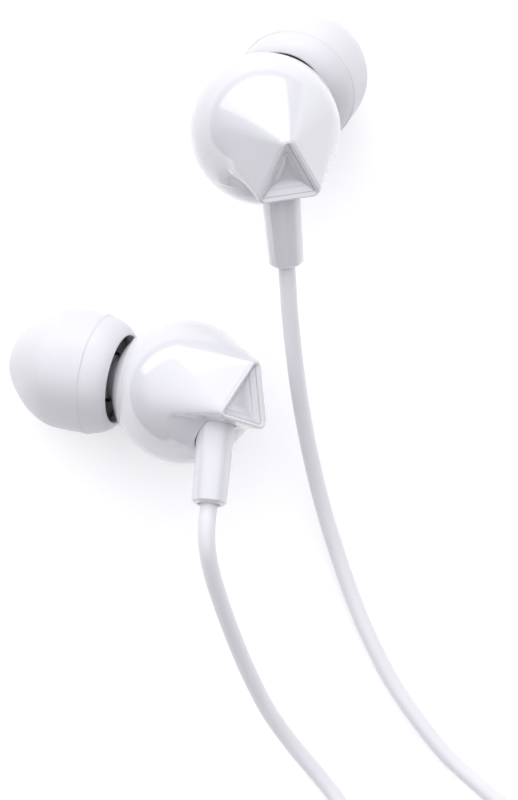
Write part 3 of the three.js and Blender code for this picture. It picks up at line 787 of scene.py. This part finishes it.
def core_mesh():
    return turned("core", rounded([
        (2.45, 7.4), (4.1, 7.3), (4.12, 7.55), (3.5, 7.75, 0.2), (3.5, 13.85), (2.45, 13.85),
    ], 0.08))


def plug_piece(name, profile, slot, node, radius=0.08):
    turn = Matrix.Translation(PLUG_START) @ Matrix.Rotation(math.radians(90), 4, "X")
    return link(name, turned(name, rounded(profile, radius), 72), "earphones", slot, [node], turn)


BOOT_LENGTH = 8
GRIP_LENGTH = 14
PLUG_GAP = 0.3
PIN_RADIUS = 1.75


def make_plug():
    grip = BOOT_LENGTH + 0.06
    shoulder = BOOT_LENGTH + PLUG_GAP + GRIP_LENGTH
    metal = shoulder + PLUG_GAP
    relief = [(0, 0), (1.35, 0, 0.15), (1.5, 0.5)]
    for k in range(6):
        start = 0.9 + k * 1.15
        body = 1.5 + 0.4 * start / BOOT_LENGTH
        neck = body - 0.22
        relief += [(body, start, 0.04), (neck, start + 0.08, 0.04)]
        relief += [(neck, start + 0.42, 0.04), (body, start + 0.5, 0.04)]
    relief += [(1.9, 7.9), (1.9, grip), (0, grip)]
    plug_piece("plug_boot", relief, "white_cord", "plug_strain_relief")
    plug_piece("plug_body", [
        (0, grip), (2.3, grip, 0.2), (2.7, grip + 0.7, 1.0), (2.9, grip + 3, 3.0),
        (2.9, shoulder - 0.3, 0.2), (2.6, shoulder, 0.15), (1.8, shoulder, 0.03),
        (1.8, shoulder - 1, 0.03), (0, shoulder - 1),
    ], "white_shell", "plug_grip")
    pieces = [
        ("plug_barrel", -0.98, 7.47, "gold", "plug_sleeve"),
        ("plug_band_a", 7.5, 8.0, "dark_plastic", "plug_rear_insulator"),
        ("plug_collar", 8.03, 10.07, "gold", "plug_ring"),
        ("plug_band_b", 10.1, 10.7, "dark_plastic", "plug_front_insulator"),
    ]
    for name, start, end, slot, node in pieces:
        low, high = metal + start, metal + end
        profile = [(0, low), (PIN_RADIUS, low), (PIN_RADIUS, high), (0, high)]
        plug_piece(name, profile, slot, node, 0.05)
    tip = metal + 10.73
    plug_piece("plug_nose", [
        (0, tip), (1.72, tip), (1.3, tip + 0.95, 0.25), (1.7, tip + 1.65, 0.35),
        (1.1, tip + 2.95, 0.5), (0.5, tip + 3.2, 0.2), (0, tip + 3.24),
    ], "gold", "plug_tip", 0.05)


# ---------------------------------------------------------------- splitter and ties
def splitter_outline(inset, steps=10):
    corners = [(3.2, 0), (-3.2, 0), (-2.4, -SPLITTER_LENGTH), (2.4, -SPLITTER_LENGTH)]
    outline = []
    for i, corner in enumerate(corners):
        here = Vector(corner)
        before = (Vector(corners[i - 1]) - here).normalized()
        after = (Vector(corners[(i + 1) % 4]) - here).normalized()
        half = math.acos(before.dot(after)) / 2
        radius = 1.1
        middle = here + (before + after).normalized() * (radius / math.sin(half))
        reach = radius / math.tan(half)
        first, last = here + before * reach - middle, here + after * reach - middle
        for k in range(steps + 1):
            spoke = first.lerp(last, k / steps).normalized()
            outline.append(middle + spoke * (radius - inset))
    return outline


def splitter_half(name, node, low, high, flat_low, edge=0.5, steps=6):
    """A slab with its outer edge rounded over; the edge at the parting plane stays crisp."""
    rows = []
    quarter = np.linspace(0, math.pi / 2, steps)
    outer = [(edge * (1 - math.sin(t)), edge * (1 - math.cos(t))) for t in quarter]
    crisp = [(0.05, 0.0), (0.0, 0.05)]
    first, last = (outer, crisp) if flat_low else (crisp, outer)
    for inset, up in first:
        rows.append([(p.x, p.y, low + up) for p in splitter_outline(inset)])
    for inset, down in reversed(last):
        rows.append([(p.x, p.y, high - down) for p in splitter_outline(inset)])
    n = len(rows[0])
    points = [p for row in rows for p in row]
    faces = []
    for a in range(0, len(points) - n, n):
        for k in range(n):
            k2 = (k + 1) % n
            faces.append((a + k, a + k2, a + n + k2, a + n + k))
    faces += [tuple(range(n)), tuple(range(len(points) - n, len(points)))]
    mesh = mesh_from(name, points, faces)
    middle = -SPLITTER_LENGTH / 2
    pocket = box_mesh("pocket", (-1.6, middle - 3.3, 0.8), (1.6, middle + 3.3, 3.6))
    place = Matrix.Translation(SPLITTER_TOP)
    return link(name, cut(mesh, [pocket]), "earphones", "white_shell", [node], place)


def make_splitter():
    middle = SPLITTER_HEIGHT / 2
    splitter_half("splitter_lower", "splitter_base", 0, middle - 0.02, True)
    splitter_half("splitter_upper", "splitter_cover", middle + 0.02, SPLITTER_HEIGHT, False)


def tie_loop(inner, outer, top, thickness, grow, corner=0.6):
    """The band's outline in (x, z), grown outwards, with its corners rounded."""
    radius = corner + grow
    low_x, high_x = inner - grow + radius, outer + grow - radius
    low_z, high_z = thickness - grow + radius, top + grow - radius
    middles = [(high_x, high_z), (low_x, high_z), (low_x, low_z), (high_x, low_z)]
    loop = []
    for quarter, (x, z) in enumerate(middles):
        for k in range(7):
            angle = math.radians(90 * quarter + 15 * k)
            loop.append((x + radius * math.cos(angle), z + radius * math.sin(angle)))
    return loop


def tie(name, node, coil, diameter, bearing, width=4.0, thickness=0.35):
    """A soft band round the coil."""
    span = coil["turns"] / coil["layers"] * diameter
    inner = coil["middle"] - span / 2 - diameter / 2 - 0.6
    outer = coil["middle"] + span / 2 + diameter / 2 + 0.6
    top = COIL_BASE + coil["layers"] * diameter + 0.3
    inside = tie_loop(inner, outer, top, thickness, 0)
    outside = tie_loop(inner, outer, top, thickness, thickness)
    half = width / 2
    section = rounded([(0, -half), (thickness, -half), (thickness, half), (0, half)], 0.1, 3)
    points = []
    for (ix, iz), (ox, oz) in zip(inside, outside):
        for u, v in section:
            share = u / thickness
            points.append((ix + (ox - ix) * share, v, iz + (oz - iz) * share))
    n, per = len(inside), len(section)
    faces = []
    for k in range(n):
        a, b = k * per, (k + 1) % n * per
        for j in range(per):
            j2 = (j + 1) % per
            faces.append((a + j, a + j2, b + j2, b + j))
    mesh = mesh_from(name, points, faces)
    spin = Matrix.Rotation(math.radians(bearing), 4, "Z")
    turn = Matrix.Translation((*coil["centre"], 0)) @ spin
    return link(name, mesh, "earphones", "grey_tie", [node], turn)


# ---------------------------------------------------------------- assembly
def make_earpiece(name):
    place = PLACES[name]
    body = place_matrix(place)
    nozzle = nozzle_matrix(place)
    stem = stem_matrix(place)
    side = place["side"]
    shells = [
        ("housing", rear_shell(side), "rear_shell", body, 40),
        ("dish", triangle_cap(), "triangle_cap", body, 50),
        ("cord_sleeve", stem_mesh(), "stem", stem, 35),
        ("front", front_shell_mesh(), "front_shell", nozzle, 35),
    ]
    for piece, mesh, node, at, sharp in shells:
        nodes = [f"{name}_{node}"]
        link(f"{name}_{piece}", mesh, "earphones", "white_shell", nodes, at, sharp)
    tip = f"{name}_eartip"
    lean = nozzle.to_3x3().inverted() @ Vector(SKIRT_LEAN[name])
    lean.z = 0
    link(f"{name}_dome", dome_mesh(lean), tip, "white_silicone", [f"{tip}_dome"], nozzle, 50)
    link(f"{name}_core", core_mesh(), tip, "dark_core", [f"{tip}_core"], nozzle)


def dress_cad_nodes():
    """What keeps its CAD mesh gets the finish of its slot."""
    for row in frame["record"]["subparts"]:
        node = frame["nodes"][row["node"]]
        if node.hide_render:
            continue
        node.data.materials.clear()
        node.data.materials.append(MATERIALS[row["material_slot"]])
        node.data.shade_smooth()
        node.data.set_sharp_from_angle(angle=math.radians(40))


# ---------------------------------------------------------------- studio
CEILING = 1.5
FLOOR_HALF = 900
FLOOR_DROP = 0.05


def area_light(name, at, towards, size, power):
    data = bpy.data.lights.new(name, "AREA")
    data.shape = "RECTANGLE"
    data.size, data.size_y = size[0] * MM, size[1] * MM
    data.energy = power
    lamp = bpy.data.objects.new(name, data)
    lamp.location = Vector(at) * MM
    aim = Vector(towards) - Vector(at)
    lamp.rotation_mode = "QUATERNION"
    lamp.rotation_quaternion = aim.to_track_quat("-Z", "Y")
    bpy.context.scene.collection.objects.link(lamp)


def make_sky():
    """A soft white ceiling, over walls that darken towards the foot of the view."""
    world = bpy.data.worlds.new("studio")
    world.use_nodes = True
    tree = world.node_tree
    background = tree.nodes["Background"]
    background.inputs["Color"].default_value = (0.96, 0.96, 1.0, 1)
    direction = tree.nodes.new("ShaderNodeTexCoord").outputs["Generated"]

    def facing(axis, low, high, at_low, at_high):
        """From at_low to at_high as the direction turns towards the axis."""
        dot = tree.nodes.new("ShaderNodeVectorMath")
        dot.operation = "DOT_PRODUCT"
        dot.inputs[1].default_value = axis
        tree.links.new(direction, dot.inputs[0])
        spread = tree.nodes.new("ShaderNodeMapRange")
        spread.interpolation_type = "SMOOTHSTEP"
        limits = {"From Min": low, "From Max": high, "To Min": at_low, "To Max": at_high}
        for socket, value in limits.items():
            spread.inputs[socket].default_value = value
        tree.links.new(dot.outputs["Value"], spread.inputs["Value"])
        return spread.outputs["Result"]

    walls = facing((0.12, 0.99, 0), -0.70, 0.35, 0.03, 0.60)
    overhead = facing((-0.05, 0.30, 0.95), 0.30, 0.80, 0.0, 1.0)
    mix = tree.nodes.new("ShaderNodeMix")
    tree.links.new(overhead, mix.inputs[0])
    tree.links.new(walls, mix.inputs[2])
    mix.inputs[3].default_value = CEILING
    tree.links.new(mix.outputs[0], background.inputs["Strength"])
    bpy.context.scene.world = world


def make_studio():
    signs = [(-1, -1), (1, -1), (1, 1), (-1, 1)]
    corners = [(x * FLOOR_HALF, y * FLOOR_HALF, -FLOOR_DROP) for x, y in signs]
    floor_mesh = mesh_from("floor", corners, [(0, 1, 2, 3)])
    floor_mesh.transform(Matrix.Scale(MM, 4))
    floor = bpy.data.objects.new("floor", floor_mesh)
    floor_mesh.materials.append(MATERIALS["paper"])
    bpy.context.scene.collection.objects.link(floor)
    make_sky()
    area_light("key", (-180, 550, 270), (0, 0, 20), (1250, 230), 1.25)
    scene = bpy.context.scene
    scene.view_settings.view_transform = "Standard"
    scene.view_settings.exposure = 0.0


make_materials()
make_camera()
make_plug()
make_splitter()
make_cords()
for side_name in PLACES:
    make_earpiece(side_name)
tie("left_band", "left_lead_tie", LEFT_COIL, LEAD_DIAMETER, 200)
tie("right_band", "right_lead_tie", RIGHT_COIL, LEAD_DIAMETER, 110)
tie("main_band", "main_cord_tie", MAIN_COIL, MAIN_DIAMETER, 235)
dress_cad_nodes()
make_studio()
